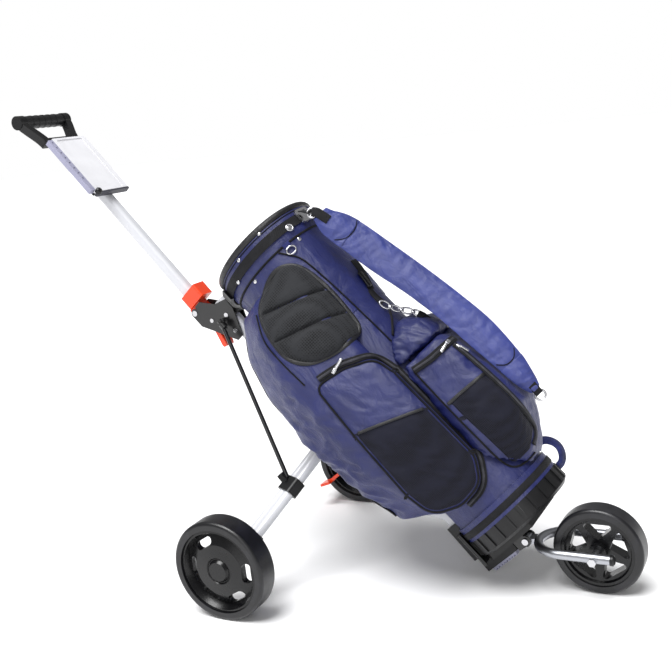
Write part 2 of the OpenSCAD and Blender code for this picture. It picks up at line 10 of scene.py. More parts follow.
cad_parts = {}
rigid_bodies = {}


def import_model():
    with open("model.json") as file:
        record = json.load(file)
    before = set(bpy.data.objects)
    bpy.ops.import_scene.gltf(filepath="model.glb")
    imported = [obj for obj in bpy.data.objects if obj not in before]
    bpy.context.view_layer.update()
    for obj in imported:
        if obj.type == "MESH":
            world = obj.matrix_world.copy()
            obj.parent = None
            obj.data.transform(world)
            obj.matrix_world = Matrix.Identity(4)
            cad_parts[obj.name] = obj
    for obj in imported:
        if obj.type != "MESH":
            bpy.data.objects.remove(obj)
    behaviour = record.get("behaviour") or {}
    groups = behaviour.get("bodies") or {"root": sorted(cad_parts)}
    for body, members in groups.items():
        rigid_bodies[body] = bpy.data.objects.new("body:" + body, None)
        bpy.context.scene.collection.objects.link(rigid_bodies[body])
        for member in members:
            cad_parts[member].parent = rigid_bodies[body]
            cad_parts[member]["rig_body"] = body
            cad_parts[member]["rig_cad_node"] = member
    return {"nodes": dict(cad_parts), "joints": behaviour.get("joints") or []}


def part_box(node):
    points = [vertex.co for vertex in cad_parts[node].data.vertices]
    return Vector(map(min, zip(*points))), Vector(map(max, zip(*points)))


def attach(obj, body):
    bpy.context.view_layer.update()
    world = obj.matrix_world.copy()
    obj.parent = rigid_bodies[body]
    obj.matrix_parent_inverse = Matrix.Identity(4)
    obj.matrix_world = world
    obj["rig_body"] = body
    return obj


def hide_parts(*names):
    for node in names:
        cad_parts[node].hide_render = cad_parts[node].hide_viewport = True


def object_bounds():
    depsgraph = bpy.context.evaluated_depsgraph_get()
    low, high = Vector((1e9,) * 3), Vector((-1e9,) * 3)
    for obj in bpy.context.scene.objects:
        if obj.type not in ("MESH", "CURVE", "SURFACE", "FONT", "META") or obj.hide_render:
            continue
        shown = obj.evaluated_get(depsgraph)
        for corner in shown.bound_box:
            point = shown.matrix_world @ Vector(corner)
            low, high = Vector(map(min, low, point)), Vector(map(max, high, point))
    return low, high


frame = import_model()
CAD_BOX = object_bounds()
NODES = frame["nodes"]
JOINTS = {j["name"]: j for j in frame["joints"]}
MM = 0.001


# ---------- frames ----------

def middle(node):
    low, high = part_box(node)
    return (low + high) / 2


def placed(origin, x, y, z):
    m = Matrix((x, y, z)).transposed().to_4x4()
    m.translation = origin
    return m


LEFT = Vector((0, 1, 0))
# The bag's own axis runs through the middles of its shell and its lower band
DOWN = (middle("base_band") - middle("bag_shell")).normalized()
OUT = Vector((-DOWN.z, 0, DOWN.x))
BAND_MIDDLE = 59 * MM
BAG = placed(middle("base_band") + DOWN * BAND_MIDDLE, DOWN, LEFT, OUT)
# The near face: x down the bag, y across the face, z out of it
FACE_TURN = math.radians(59.2)
FACE = BAG @ Matrix.Rotation(FACE_TURN, 4, "X")
# The main tube: x down the slope, z square to it
SLOPE_DOWN = -Vector(JOINTS["leg_fold_left"]["axis"])
SLOPE_OUT = Vector((-SLOPE_DOWN.z, 0, SLOPE_DOWN.x))
HINGE_S, HINGE_N = -592 * MM, 230 * MM
SLOPE = placed(Vector(JOINTS["handle_fold"]["pos_m"]) - SLOPE_DOWN * HINGE_S - SLOPE_OUT * HINGE_N,
               SLOPE_DOWN, LEFT, SLOPE_OUT)

SHELL_R = 120 * MM
CUFF_R = 136 * MM
BAG_LEN = 838 * MM


# ---------- materials ----------

def srgb(r, g, b):
    def linear(c):
        c /= 255
        return c / 12.92 if c <= 0.04045 else ((c + 0.055) / 1.055) ** 2.4
    return (linear(r), linear(g), linear(b), 1)


class Paint:
    """A Principled material with small helpers for its nodes."""

    def __init__(self, name, colour, rough=0.5, metal=0.0, spec=0.5, coat=0.0, sheen=0.0):
        self.mat = bpy.data.materials.new(name)
        self.mat.use_nodes = True
        self.nodes = self.mat.node_tree.nodes
        self.links = self.mat.node_tree.links
        self.shader = self.nodes["Principled BSDF"]
        for socket, value in (("Base Color", colour), ("Roughness", rough), ("Metallic", metal),
                              ("Specular IOR Level", spec), ("Coat Weight", coat), ("Sheen Weight", sheen)):
            self.shader.inputs[socket].default_value = value
        self.colour = colour
        self.place = self.nodes.new("ShaderNodeTexCoord").outputs["Object"]
        self.normal = None

    def put(self, kind, **values):
        n = self.nodes.new("ShaderNode" + kind)
        for key, value in values.items():
            if isinstance(value, bpy.types.NodeSocket):
                self.links.new(value, n.inputs[key])
            else:
                n.inputs[key].default_value = value
        return n

    def turned(self, matrix, scale=(1, 1, 1)):
        """Texture coordinates in a frame of the object, so that a weave follows the cloth."""
        rotation = matrix.to_3x3().inverted().to_euler()
        turn = self.put("Mapping", Vector=self.place, Rotation=rotation)
        return self.put("Mapping", Vector=turn.outputs[0], Scale=scale).outputs[0]

    def noise(self, scale, detail=3.0, where=None, distortion=0.0):
        return self.put("TexNoise", Vector=where or self.place, Scale=scale, Detail=detail,
                        Distortion=distortion).outputs["Fac"]

    def wave(self, scale, where, direction="X", profile="SIN"):
        n = self.put("TexWave", Vector=where, Scale=scale)
        n.bands_direction = direction
        n.wave_profile = profile
        return n.outputs["Fac"]

    def maths(self, kind, a, b=0.5):
        n = self.nodes.new("ShaderNodeMath")
        n.operation = kind
        for i, value in enumerate((a, b)):
            if isinstance(value, bpy.types.NodeSocket):
                self.links.new(value, n.inputs[i])
            else:
                n.inputs[i].default_value = value
        return n.outputs[0]

    def ramp(self, fac, low, high, a=(0, 0, 0, 1), b=(1, 1, 1, 1)):
        n = self.put("ValToRGB", Fac=fac)
        n.color_ramp.elements[0].position, n.color_ramp.elements[1].position = low, high
        n.color_ramp.elements[0].color, n.color_ramp.elements[1].color = a, b
        return n.outputs[0]

    def bump(self, height, distance, strength=1.0):
        n = self.put("Bump", Height=height, Distance=distance, Strength=strength)
        if self.normal:
            self.links.new(self.normal, n.inputs["Normal"])
        self.normal = n.outputs[0]
        self.links.new(self.normal, self.shader.inputs["Normal"])

    def tint(self, fac, other):
        """Colour from the base to another as fac goes from 0 to 1."""
        n = self.nodes.new("ShaderNodeMix")
        n.data_type = "RGBA"
        source = self.shader.inputs["Base Color"]
        if source.is_linked:
            self.links.new(source.links[0].from_socket, n.inputs["A"])
        else:
            n.inputs["A"].default_value = self.colour
        if isinstance(other, bpy.types.NodeSocket):
            self.links.new(other, n.inputs["B"])
        else:
            n.inputs["B"].default_value = other
        self.links.new(fac, n.inputs["Factor"])
        self.links.new(n.outputs["Result"], source)

    def rough(self, fac, low, high):
        n = self.put("MapRange", Value=fac)
        n.inputs["To Min"].default_value, n.inputs["To Max"].default_value = low, high
        self.links.new(n.outputs[0], self.shader.inputs["Roughness"])


def shade(colour, k):
    return (*[min(1, c * k) for c in colour[:3]], 1)


def nylon(name, colour, folds=0.5):
    """Coated nylon: fine plain weave, soft creases with painted shade in their hollows, a slight sheen."""
    p = Paint(name, colour, rough=0.5, spec=0.5, sheen=0.08)
    p.shader.inputs["Sheen Roughness"].default_value = 0.4
    p.shader.inputs["Sheen Tint"].default_value = shade(colour, 3.5)
    where = p.turned(FACE)
    crease = p.noise(26, 5, p.turned(FACE, (0.55, 1, 1)), 0.9)
    soft = p.noise(9, 3, where)
    p.bump(crease, 0.009 * folds)
    weave = p.maths("MULTIPLY", p.wave(330, where, "X"), p.wave(330, where, "Y"))
    p.bump(weave, 0.0004, 0.5)
    p.tint(p.ramp(soft, 0.3, 0.75), shade(colour, 1.25))
    # Painted shade: up to a third of the way to 0.6 of the colour where the crease noise is low, in the hollows
    # of the bumped folds
    p.tint(p.maths("MULTIPLY", p.ramp(crease, 0.35, 0.62, (1, 1, 1, 1), (0, 0, 0, 1)), 0.35),
           shade(colour, 0.6))
    p.rough(weave, 0.34, 0.5)
    return p.mat


def webbing(name, colour, along=FACE, rib=170):
    """Woven strap: ribs across it and a fine noise."""
    p = Paint(name, colour, rough=0.7, spec=0.2, sheen=0.04)
    where = p.turned(along)
    ribs = p.maths("ADD", p.wave(rib, where, "X"), p.wave(rib * 0.8, where, "DIAGONAL"))
    p.bump(ribs, 0.0006, 0.6)
    p.tint(p.ramp(p.noise(60, 4), 0.35, 0.7), shade(colour, 1.9))
    return p.mat


def mesh_cloth(name, colour, thread, cell=260):
    """Spacer mesh: small dark holes in a lighter net."""
    p = Paint(name, colour, rough=0.72, spec=0.18, sheen=0.05)
    where = p.turned(FACE, (1, 1, 0.35))
    holes = p.put("TexVoronoi", Vector=where, Scale=cell, Randomness=0.15).outputs["Distance"]
    net = p.ramp(holes, 0.18, 0.5)
    p.tint(net, thread)
    p.tint(p.maths("MULTIPLY", p.ramp(p.noise(14, 4, None, 0.6), 0.4, 0.68), 0.3), shade(thread, 1.4))
    p.bump(net, 0.0009, 0.8)
    p.bump(p.noise(30, 4, None, 0.8), 0.002, 0.5)
    return p.mat


def plastic(name, colour, rough=0.38, grain=0.00015, coat=0.0):
    """Moulded plastic with a fine texture and slightly uneven gloss."""
    p = Paint(name, colour, rough=rough, coat=coat, spec=0.4)
    p.bump(p.noise(900, 2), grain, 0.7)
    p.bump(p.noise(24, 2), 0.0005, 0.15)
    p.rough(p.noise(35, 4), rough - 0.08, rough + 0.12)
    p.tint(p.maths("MULTIPLY", p.ramp(p.noise(18, 4), 0.4, 0.8), 0.4), shade(colour, 1.3))
    return p.mat


def painted(name, colour, rough=0.22):
    """Powder-coated tube: faint orange peel, a little dust."""
    p = Paint(name, colour, rough=rough, coat=0.35)
    p.bump(p.noise(420, 2), 0.0002, 0.4)
    p.tint(p.maths("MULTIPLY", p.ramp(p.noise(12, 5), 0.5, 0.9), 0.35), shade(colour, 0.86))
    p.rough(p.noise(30, 3), rough - 0.05, rough + 0.12)
    return p.mat


def metal(name, colour, rough=0.22):
    """Bright metal with fine brushing."""
    p = Paint(name, colour, rough=rough, metal=1.0)
    p.bump(p.noise(500, 3, p.turned(SLOPE, (0.1, 1, 1))), 0.0001, 0.4)
    p.rough(p.noise(60, 4), rough - 0.08, rough + 0.14)
    p.tint(p.maths("MULTIPLY", p.noise(25, 3), 0.3), shade(colour, 0.7))
    return p.mat


def tyre(name, colour):
    """Hard tyre: smooth satin rubber with faint dust in the tread."""
    p = Paint(name, colour, rough=0.4, spec=0.5)
    p.bump(p.noise(700, 2), 0.0002, 0.6)
    p.bump(p.noise(40, 3), 0.0006, 0.2)
    p.tint(p.maths("MULTIPLY", p.ramp(p.noise(22, 5, None, 0.5), 0.45, 0.8), 0.5), srgb(44, 44, 52))
    p.rough(p.noise(28, 4), 0.26, 0.46)
    return p.mat


NAVY = nylon("navy_nylon", srgb(27, 33, 84))
NAVY_STRAP = nylon("navy_strap", srgb(48, 57, 120), 0.6)
LINING = nylon("black_lining", srgb(14, 14, 18), 0.3)
PIPING = webbing("black_piping", srgb(9, 9, 12), rib=420)
WEBBING = webbing("black_webbing", srgb(16, 16, 19))
NAVY_WEBBING = webbing("navy_webbing", srgb(32, 37, 82))
ZIP_TAPE = webbing("zip_tape", srgb(18, 18, 21), rib=300)
ZIP_TEETH = webbing("zip_teeth", srgb(52, 52, 57), rib=520)
PAD_MESH = mesh_cloth("pad_mesh", srgb(8, 8, 9), srgb(38, 39, 42), 210)
POCKET_MESH = mesh_cloth("pocket_mesh", srgb(3, 3, 8), srgb(20, 21, 34), 300)
BLACK = plastic("black_plastic", srgb(12, 12, 14))
BLACK_GLOSS = plastic("black_gloss", srgb(8, 8, 10), 0.24)
BLACK_STEEL = painted("black_steel", srgb(12, 12, 14), 0.3)
GRIP = plastic("grip_rubber", srgb(18, 18, 20), 0.42, 0.0005)
WHITE = painted("white_paint", srgb(202, 203, 208))
BOARD = plastic("white_board", srgb(220, 220, 224), 0.3)
GREY = plastic("grey_plastic", srgb(150, 150, 172), 0.4)
DARK_GREY = plastic("dark_grey", srgb(58, 58, 66), 0.45)
RED = plastic("red_plastic", srgb(226, 62, 22), 0.3, coat=0.3)
STEEL = metal("bright_steel", srgb(205, 205, 208))
SILVER = metal("silver_tube", srgb(176, 178, 184), 0.3)
RUBBER = tyre("tyre_rubber", srgb(12, 12, 15))

CAD_LOOK = {
    "lower_tube": WHITE, "upper_tube": WHITE, "leg_left": WHITE, "leg_right": WHITE,
    "hinge_bracket": BLACK_STEEL, "strut_left": BLACK_STEEL, "strut_right": BLACK_STEEL,
    "fork_bracket": BLACK_STEEL, "brake_pin": BLACK_STEEL,
    "hinge_pin": STEEL, "bracket_rivets": STEEL, "latch_pin": STEEL, "hub_pins": STEEL,
    "axle_left": STEEL, "axle_right": STEEL, "fork_pin": STEEL, "front_axle": STEEL,
    "strap_rings": STEEL, "strap_buckle": STEEL,
    "hinge_clamp": RED, "latch_lever": RED, "brake_lever": RED,
    "handle_frame": BLACK, "tray_knob": BLACK, "upper_cradle": BLACK, "mid_cradle": BLACK,
    "leg_hub": BLACK, "foot_left": BLACK, "foot_right": BLACK, "sleeve_left": BLACK,
    "sleeve_right": BLACK, "lower_cradle": BLACK, "fork_plugs": BLACK, "bag_base": BLACK,
    "rear_rim_left": BLACK_GLOSS, "rear_rim_right": BLACK_GLOSS, "rear_cap_left": BLACK_GLOSS,
    "rear_cap_right": BLACK_GLOSS, "front_rim": BLACK_GLOSS,
    "handle_grip": GRIP, "score_tray": BOARD, "tray_lip": DARK_GREY, "tee_rack": GREY,
    "ratchet_strip": GREY, "fork_tube": SILVER,
    "rear_tyre_left": RUBBER, "rear_tyre_right": RUBBER, "front_tyre": RUBBER,
    "bag_shell": NAVY, "bag_cuff": NAVY, "club_divider": LINING, "base_band": NAVY,
    "cuff_strap": WEBBING, "side_pocket_left": NAVY, "side_pocket_right": NAVY,
    "front_pocket_upper": NAVY, "front_pocket_lower": NAVY, "side_pad": PAD_MESH,
    "shoulder_strap": NAVY_STRAP, "carry_loop": NAVY_WEBBING,
}
for name, look in CAD_LOOK.items():
    node = NODES[name]
    node.data.materials.clear()
    node.data.materials.append(look)


# ---------- mesh helpers ----------

def make(name, verts, faces, look, body="root"):
    """A mesh object in the row frame that rides on a body."""
    mesh = bpy.data.meshes.new(name)
    mesh.from_pydata([tuple(v) for v in verts], [], faces)
    mesh.update()
    obj = bpy.data.objects.new(name, mesh)
    bpy.context.scene.collection.objects.link(obj)
    mesh.materials.append(look)
    mesh.polygons.foreach_set("use_smooth", [True] * len(mesh.polygons))
    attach(obj, body)
    return obj


def route(points, count, closed=False):
    """Evenly spaced points on a smooth curve through the given ones."""
    pts = [np.array(p, float) for p in points]
    n = len(pts)
    spans = n if closed else n - 1
    dense = []
    for i in range(spans):
        p0, p1, p2, p3 = (pts[(i + k) % n] if closed else pts[min(max(i + k, 0), n - 1)] for k in (-1, 0, 1, 2))
        for t in np.arange(0, 1, 1 / 24):
            dense.append(0.5 * (2 * p1 + (p2 - p0) * t + (2 * p0 - 5 * p1 + 4 * p2 - p3) * t * t
                                + (3 * p1 - p0 - 3 * p2 + p3) * t ** 3))
    dense.append(pts[0] if closed else pts[-1])
    dense = np.array(dense)
    run = np.concatenate([[0], np.cumsum(np.linalg.norm(np.diff(dense[:, :3], axis=0), axis=1))])
    at = np.linspace(0, run[-1], count + 1 if closed else count)
    out = np.stack([np.interp(at, run, dense[:, k]) for k in range(dense.shape[1])], 1)
    return out[:-1] if closed else out


def corners(outline, radius, per_corner=6):
    """A closed outline with its corners rounded; radius may be one per corner."""
    pts = [Vector(p) for p in outline]
    radii = radius if isinstance(radius, (list, tuple)) else [radius] * len(pts)
    out = []
    for i, p in enumerate(pts):
        a, b = pts[i - 1] - p, pts[(i + 1) % len(pts)] - p
        half = a.angle(b) / 2
        cut = min(radii[i] / math.tan(half), a.length * 0.49, b.length * 0.49)
        start, end = p + a.normalized() * cut, p + b.normalized() * cut
        for k in range(per_corner + 1):
            t = k / per_corner
            out.append((1 - t) ** 2 * start + 2 * t * (1 - t) * p + t * t * end)
    return out


def sweep(name, path, section, look, body="root", closed=False, up=None):
    """A closed section swept along path. up is a direction, or one per point, that the section's y follows."""
    path = [Vector(p) for p in path]
    n, m = len(path), len(section)
    verts, faces = [], []
    side = None
    for i, p in enumerate(path):
        ahead = path[(i + 1) % n] if closed or i + 1 < n else path[i]
        behind = path[i - 1] if closed or i > 0 else path[i]
        t = (ahead - behind).normalized()
        if up is not None:
            u = Vector(up[i]) if hasattr(up[0], "__len__") else Vector(up)
            side = t.cross(u).normalized()
        elif side is None:
            side = t.cross(Vector((0.21, 0.87, 0.44))).normalized()
        else:
            side = (side - t * side.dot(t)).normalized()
        top = side.cross(t).normalized()
        verts += [p + side * a + top * b for a, b in section]
    rings = n if closed else n - 1
    for i in range(rings):
        for j in range(m):
            a, b = i * m + j, i * m + (j + 1) % m
            c, d = ((i + 1) % n) * m + (j + 1) % m, ((i + 1) % n) * m + j
            faces.append((a, b, c, d))
    if not closed:
        faces += [tuple(range(m - 1, -1, -1)), tuple((n - 1) * m + j for j in range(m))]
    return make(name, verts, faces, look, body)


def ring_section(r, count=10):
    turns = [2 * math.pi * k / count for k in range(count)]
    return [(r * math.cos(a), r * math.sin(a)) for a in turns]


def flat_section(width, thick):
    """Rounded flat strip, lying with its top at thick."""
    w, e = width / 2, min(thick, width) * 0.35
    return [(-w, e), (-w, thick - e), (-w + e, thick), (w - e, thick),
            (w, thick - e), (w, e), (w - e, 0), (-w + e, 0)]


def to(matrix, points):
    return [matrix @ Vector(p) for p in points]


def tree_of(*objects):
    """One ray-casting tree over several meshes, in the row frame."""
    verts, faces = [], []
    deps = bpy.context.evaluated_depsgraph_get()
    for o in objects:
        mesh = o.evaluated_get(deps).to_mesh()
        start = len(verts)
        verts += [o.matrix_world @ v.co for v in mesh.vertices]
        faces += [[start + i for i in p.vertices] for p in mesh.polygons]
    return BVHTree.FromPolygons(verts, faces)


def drape(tree, points, lift=0.0, fallback=120 * MM, settle=0):
    """Points (x, across) of the near face dropped onto the surfaces below, with the surface's directions."""
    flat, ups = [], []
    inward = -(FACE.to_3x3() @ Vector((0, 0, 1)))
    back = FACE.inverted()
    for x, e in points:
        hit, normal, _, _ = tree.ray_cast(FACE @ Vector((x, e, 0.4)), inward)
        if hit is None:
            hit, normal = FACE @ Vector((x, e, fallback)), -inward
        if normal.dot(inward) > 0:
            normal = -normal
        flat.append((x, e, (back @ hit).z))
        ups.append(normal)
    high = np.array([p[2] for p in flat])
    for _ in range(settle):
        high[1:-1] = np.maximum(0.5 * high[1:-1] + 0.25 * (high[:-2] + high[2:]), high[1:-1] - 0.4 * MM)
        last = len(ups) - 1
        ups = [(ups[max(i - 1, 0)] + ups[i] + ups[min(i + 1, last)]).normalized() for i in range(last + 1)]
    out = [FACE @ Vector((x, e, z)) + up * lift for (x, e, _), z, up in zip(flat, high, ups)]
    return out, ups


def ribbon(name, points, width, thick, look, tree, closed=False, lift=0.0, count=None):
    """A flat strip that follows the surface under a line of the near face."""
    count = count or max(12, int(len(points) * 10))
    line = route(points, count, closed)
    path, ups = drape(tree, [(a, b) for a, b in line], lift, settle=8)
    return sweep(name, path, flat_section(width, thick), look, closed=closed, up=ups)


def cord_on(name, points, radius, look, tree, closed=False, count=None):
    """Round piping sewn along a line of the near face."""
    count = count or max(12, int(len(points) * 10))
    line = route(points, count, closed)
    path, ups = drape(tree, [(a, b) for a, b in line], radius * 0.5, settle=8)
    return sweep(name, path, ring_section(radius, 8), look, closed=closed, up=ups)


def crease(p, seed, size=60 * MM, turn=0.0):
    """Height from -1 to 1 of soft ridged folds at a point."""
    c, s = math.cos(turn), math.sin(turn)
    q = Vector((c * p[0] - s * p[1], s * p[0] + c * p[1], p[2]))
    q = Vector((q.x / size, q.y / (size * 2.6), q.z / (size * 1.6))) + Vector((seed, seed * 1.7, seed * 0.6))
    wide = noise.noise(q)
    ridge = 1 - 2 * abs(noise.noise(q * 1.9 + Vector((5.2, 1.3, 0))))
    return 0.5 * wide + 0.5 * (ridge - 0.55)


# ---------- soft bodies ----------

def revolve(name, profile, look, bump=None, around=144, body="root"):
    """A skin of revolution about the bag's axis; profile is (along, radius), bump adds to the radius."""
    verts, faces = [], []
    for x, r in profile:
        for j in range(around):
            a = 2 * math.pi * j / around
            rr = r + (bump(x, a) if bump else 0)
            verts.append(BAG @ Vector((x, rr * math.cos(a), rr * math.sin(a))))
    for i in range(len(profile) - 1):
        for j in range(around):
            faces.append((i * around + j, i * around + (j + 1) % around,
                          (i + 1) * around + (j + 1) % around, (i + 1) * around + j))
    return make(name, verts, faces, look, body)


def closed_profile(outer, inner):
    """Outer wall down the bag and inner wall back up, as one loop."""
    return outer + inner[::-1] + [outer[0]]


def puff(obj, voxel, cap, pressure=4.0, frames=20):
    """Swells a closed soft mesh as pressed cloth, keeping each point within cap of where it began."""
    deps = bpy.context.evaluated_depsgraph_get
    m = obj.modifiers.new("remesh", "REMESH")
    m.mode, m.voxel_size, m.use_smooth_shade = "VOXEL", voxel, True
    mesh = bpy.data.meshes.new_from_object(obj.evaluated_get(deps()))
    obj.modifiers.clear()
    look = obj.data.materials[0]
    obj.data = mesh
    mesh.materials.clear()
    mesh.materials.append(look)
    start = np.array([v.co for v in mesh.vertices])
    cloth = obj.modifiers.new("cloth", "CLOTH")
    s = cloth.settings
    s.quality, s.mass = 4, 0.3
    s.use_pressure, s.uniform_pressure_force = True, pressure
    s.effector_weights.gravity = 0
    s.tension_stiffness = s.compression_stiffness = 12
    s.bending_stiffness = 0.6
    cloth.point_cache.frame_start, cloth.point_cache.frame_end = 1, frames
    scene = bpy.context.scene
    for f in range(1, frames + 1):
        scene.frame_set(f)
    swollen = obj.evaluated_get(deps()).to_mesh()
    end = np.array([v.co for v in swollen.vertices])
    obj.modifiers.remove(cloth)
    scene.frame_set(1)
    move = end - start
    far = np.linalg.norm(move, axis=1, keepdims=True)
    move *= np.minimum(1, cap / np.maximum(far, 1e-9))
    mesh.vertices.foreach_set("co", (start + move).ravel())
    mesh.polygons.foreach_set("use_smooth", [True] * len(mesh.polygons))
    mesh.update()
    return obj


def smooth_mesh(obj, times):
    mesh = obj.data
    n = len(mesh.vertices)
    edges = np.array([e.vertices[:] for e in mesh.edges])
    co = np.empty(n * 3)
    mesh.vertices.foreach_get("co", co)
    co = co.reshape(-1, 3)
    count = np.bincount(edges.ravel(), minlength=n)[:, None]
    for _ in range(times):
        total = np.zeros_like(co)
        np.add.at(total, edges[:, 0], co[edges[:, 1]])
        np.add.at(total, edges[:, 1], co[edges[:, 0]])
        co = 0.5 * co + 0.5 * total / np.maximum(count, 1)
    mesh.vertices.foreach_set("co", co.ravel())
    mesh.update()


def push(obj, height, to_local):
    """Moves each vertex along its normal by height(local point)."""
    back = to_local.inverted()
    mesh = obj.data
    for v, normal in [(v, v.normal.copy()) for v in mesh.vertices]:
        v.co += normal * height(back @ v.co)
    mesh.update()


def soft_copy(name, node, look):
    """A soft piece that starts from a CAD soft solid and stands for it."""
    obj = NODES[node].copy()
    obj.data = NODES[node].data.copy()
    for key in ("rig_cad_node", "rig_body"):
        if key in obj:
            del obj[key]
    obj.name = obj.data.name = name
    bpy.context.scene.collection.objects.link(obj)
    obj.parent = None
    obj.matrix_world = Matrix.Identity(4)
    obj.data.materials.clear()
    obj.data.materials.append(look)
    import_weld(obj)
    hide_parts(node)
    return obj


def import_weld(obj):
    """Joins the doubled vertices of an imported mesh."""
    b = bmesh.new()
    b.from_mesh(obj.data)
    bmesh.ops.remove_doubles(b, verts=b.verts, dist=1e-5)
    b.to_mesh(obj.data)
    b.free()


# Bag shell: one skin that creases a little along its length
def shell_bump(x, a):
    wave = crease((x, SHELL_R * math.cos(a), SHELL_R * math.sin(a)), 3.1, 90 * MM)
    return 2.2 * MM * wave - 1.5 * MM


CUFF_END = -735 * MM
BASE_START = -42 * MM
shell_x = np.linspace(CUFF_END - 2 * MM, BASE_START + 2 * MM, 110)
bag_shell = revolve("bag_shell_cloth", [(x, SHELL_R) for x in shell_x], NAVY, shell_bump)
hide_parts("bag_shell")

# Cuff: padded collar with a black bound rim, a navy panel and a sewn lower edge
RIM_X = -BAG_LEN


def cuff_bump(x, a):
    return 1.6 * MM * crease((x, CUFF_R * math.cos(a), CUFF_R * math.sin(a)), 8.4, 60 * MM) - 1.0 * MM


CUFF_SEAM = -765 * MM
cuff_outer = [(RIM_X + 16 * MM, CUFF_R - 1 * MM), (-800 * MM, CUFF_R), (-780 * MM, CUFF_R - 0.5 * MM),
              (CUFF_SEAM, CUFF_R - 2.5 * MM)]
cuff_inner = [(RIM_X + 14 * MM, SHELL_R - 6 * MM), (CUFF_SEAM, SHELL_R - 6 * MM)]
bag_cuff = revolve("bag_cuff_cloth", closed_profile(
    [tuple(p) for p in route(cuff_outer, 22)], cuff_inner), NAVY, cuff_bump)
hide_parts("bag_cuff")


def neck_bump(x, a):
    """Soft hanging folds, none at the seam."""
    share = min(1.0, (x - CUFF_SEAM) / 0.05)
    return 3.0 * MM * share * crease((x, CUFF_R * math.cos(a), CUFF_R * math.sin(a)), 5.6, 42 * MM, 0.5)


# Body cloth below the cuff's seam, drawn in to the shell
neck = [(CUFF_SEAM, CUFF_R - 3.5 * MM), (-740 * MM, 131 * MM), (-700 * MM, 129 * MM), (-640 * MM, 125.5 * MM),
        (-560 * MM, 120 * MM)]
bag_neck = revolve("bag_neck_cloth", [tuple(p) for p in route(neck, 40)], NAVY, neck_bump)
rim_core = [(RIM_X + 8.5 * MM + 8.5 * MM * math.cos(t), CUFF_R - 6.5 * MM + 8.5 * MM * math.sin(t))
            for t in np.linspace(0, 2 * math.pi, 19)]
revolve("bag_rim_binding", rim_core, LINING)
lining = [(RIM_X + 10 * MM, SHELL_R - 5 * MM), (-790 * MM, SHELL_R - 9 * MM), (-600 * MM, SHELL_R - 10 * MM),
          (-60 * MM, SHELL_R - 10 * MM), (-58 * MM, 5 * MM)]
revolve("bag_lining", lining, LINING)


def hoop(name, x, r, radius, look):
    """Piping right round the bag."""
    path = [BAG @ Vector((x, r * math.cos(a), r * math.sin(a)))
            for a in np.linspace(0, 2 * math.pi, 97)[:-1]]
    return sweep(name, path, ring_section(radius, 8), look, closed=True)


# Black band sewn round the lower navy band
band = [BAG.inverted() @ (NODES["base_band"].matrix_world @ v.co) for v in NODES["base_band"].data.vertices]
band_r = max(math.hypot(p.y, p.z) for p in band)
band_x = [min(p.x for p in band), max(p.x for p in band)]
edge_a, edge_b = (band_x[0] + (band_x[1] - band_x[0]) * k for k in (0.34, 0.78))
band_loop = [(edge_a, band_r - 2 * MM), (edge_a, band_r + 1 * MM), (edge_a + 1.5 * MM, band_r + 2 * MM),
             (edge_b - 1.5 * MM, band_r + 2 * MM), (edge_b, band_r + 1 * MM), (edge_b, band_r - 2 * MM)]
revolve("base_band_webbing", band_loop + [band_loop[0]], WEBBING)
hoop("cuff_seam_piping", CUFF_SEAM, CUFF_R - 3 * MM, 2.6 * MM, PIPING)
hoop("rim_stitch", RIM_X + 20 * MM, CUFF_R - 1.2 * MM, 1.2 * MM, PIPING)

# Near side pocket: a deep bulge that sags and creases over the leg joint
near = soft_copy("near_pocket_body", "side_pocket_right", NAVY)
puff(near, 6 * MM, 6 * MM)
smooth_mesh(near, 3)


def gusset(p):
    side = min(1.0, max(0.0, (-0.135 - p.y) / 0.05))
    low = min(1.0, max(0.0, (p.x + 0.62) / 0.2))
    return -1.5 * MM + crease(p, 1.3, 46 * MM, 0.7) * (2.2 + 9.0 * side * low) * MM


push(near, gusset, FACE)
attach(near, "root")

front_low = soft_copy("front_pocket_body", "front_pocket_lower", NAVY)
puff(front_low, 5 * MM, 5 * MM)
smooth_mesh(front_low, 3)
push(front_low, lambda p: (crease(p, 4.2, 40 * MM, 0.4) * 4 - 1.5) * MM, FACE)
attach(front_low, "root")

pouch = soft_copy("front_pouch_body", "front_pocket_upper", NAVY)
puff(pouch, 4.5 * MM, 8 * MM)
smooth_mesh(pouch, 3)
push(pouch, lambda p: (crease(p, 7.7, 26 * MM, 1.1) * 7 + 1.0) * MM, FACE)
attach(pouch, "root")

far = soft_copy("far_pocket_body", "side_pocket_left", NAVY)
puff(far, 6 * MM, 5 * MM)
smooth_mesh(far, 3)
push(far, lambda p: (crease(p, 9.1, 46 * MM, 0.5) * 3 - 1.5) * MM, FACE)
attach(far, "root")



def inside_grid(outline, step):
    """Points of a regular grid inside an outline, with their distance from it."""
    a = np.array([p[:] for p in outline])
    b = np.roll(a, -1, 0)
    spans = [np.arange(a[:, k].min(), a[:, k].max(), step) for k in (0, 1)]
    p = np.stack([g.ravel() for g in np.meshgrid(*spans)], 1)[:, None]
    along = np.clip(((p - a) * (b - a)).sum(2) / ((b - a) ** 2).sum(1), 0, 1)
    gap = np.linalg.norm(p - a - along[..., None] * (b - a), axis=2).min(1)
    rise = np.where(b[:, 1] == a[:, 1], 1e-9, b[:, 1] - a[:, 1])
    crossed = (a[:, 1] > p[..., 1]) != (b[:, 1] > p[..., 1])
    left = p[..., 0] < a[:, 0] + (p[..., 1] - a[:, 1]) * (b[:, 0] - a[:, 0]) / rise
    keep = ((crossed & left).sum(1) % 2 == 1) & (gap > step * 0.5)
    return p[keep, 0], gap[keep]


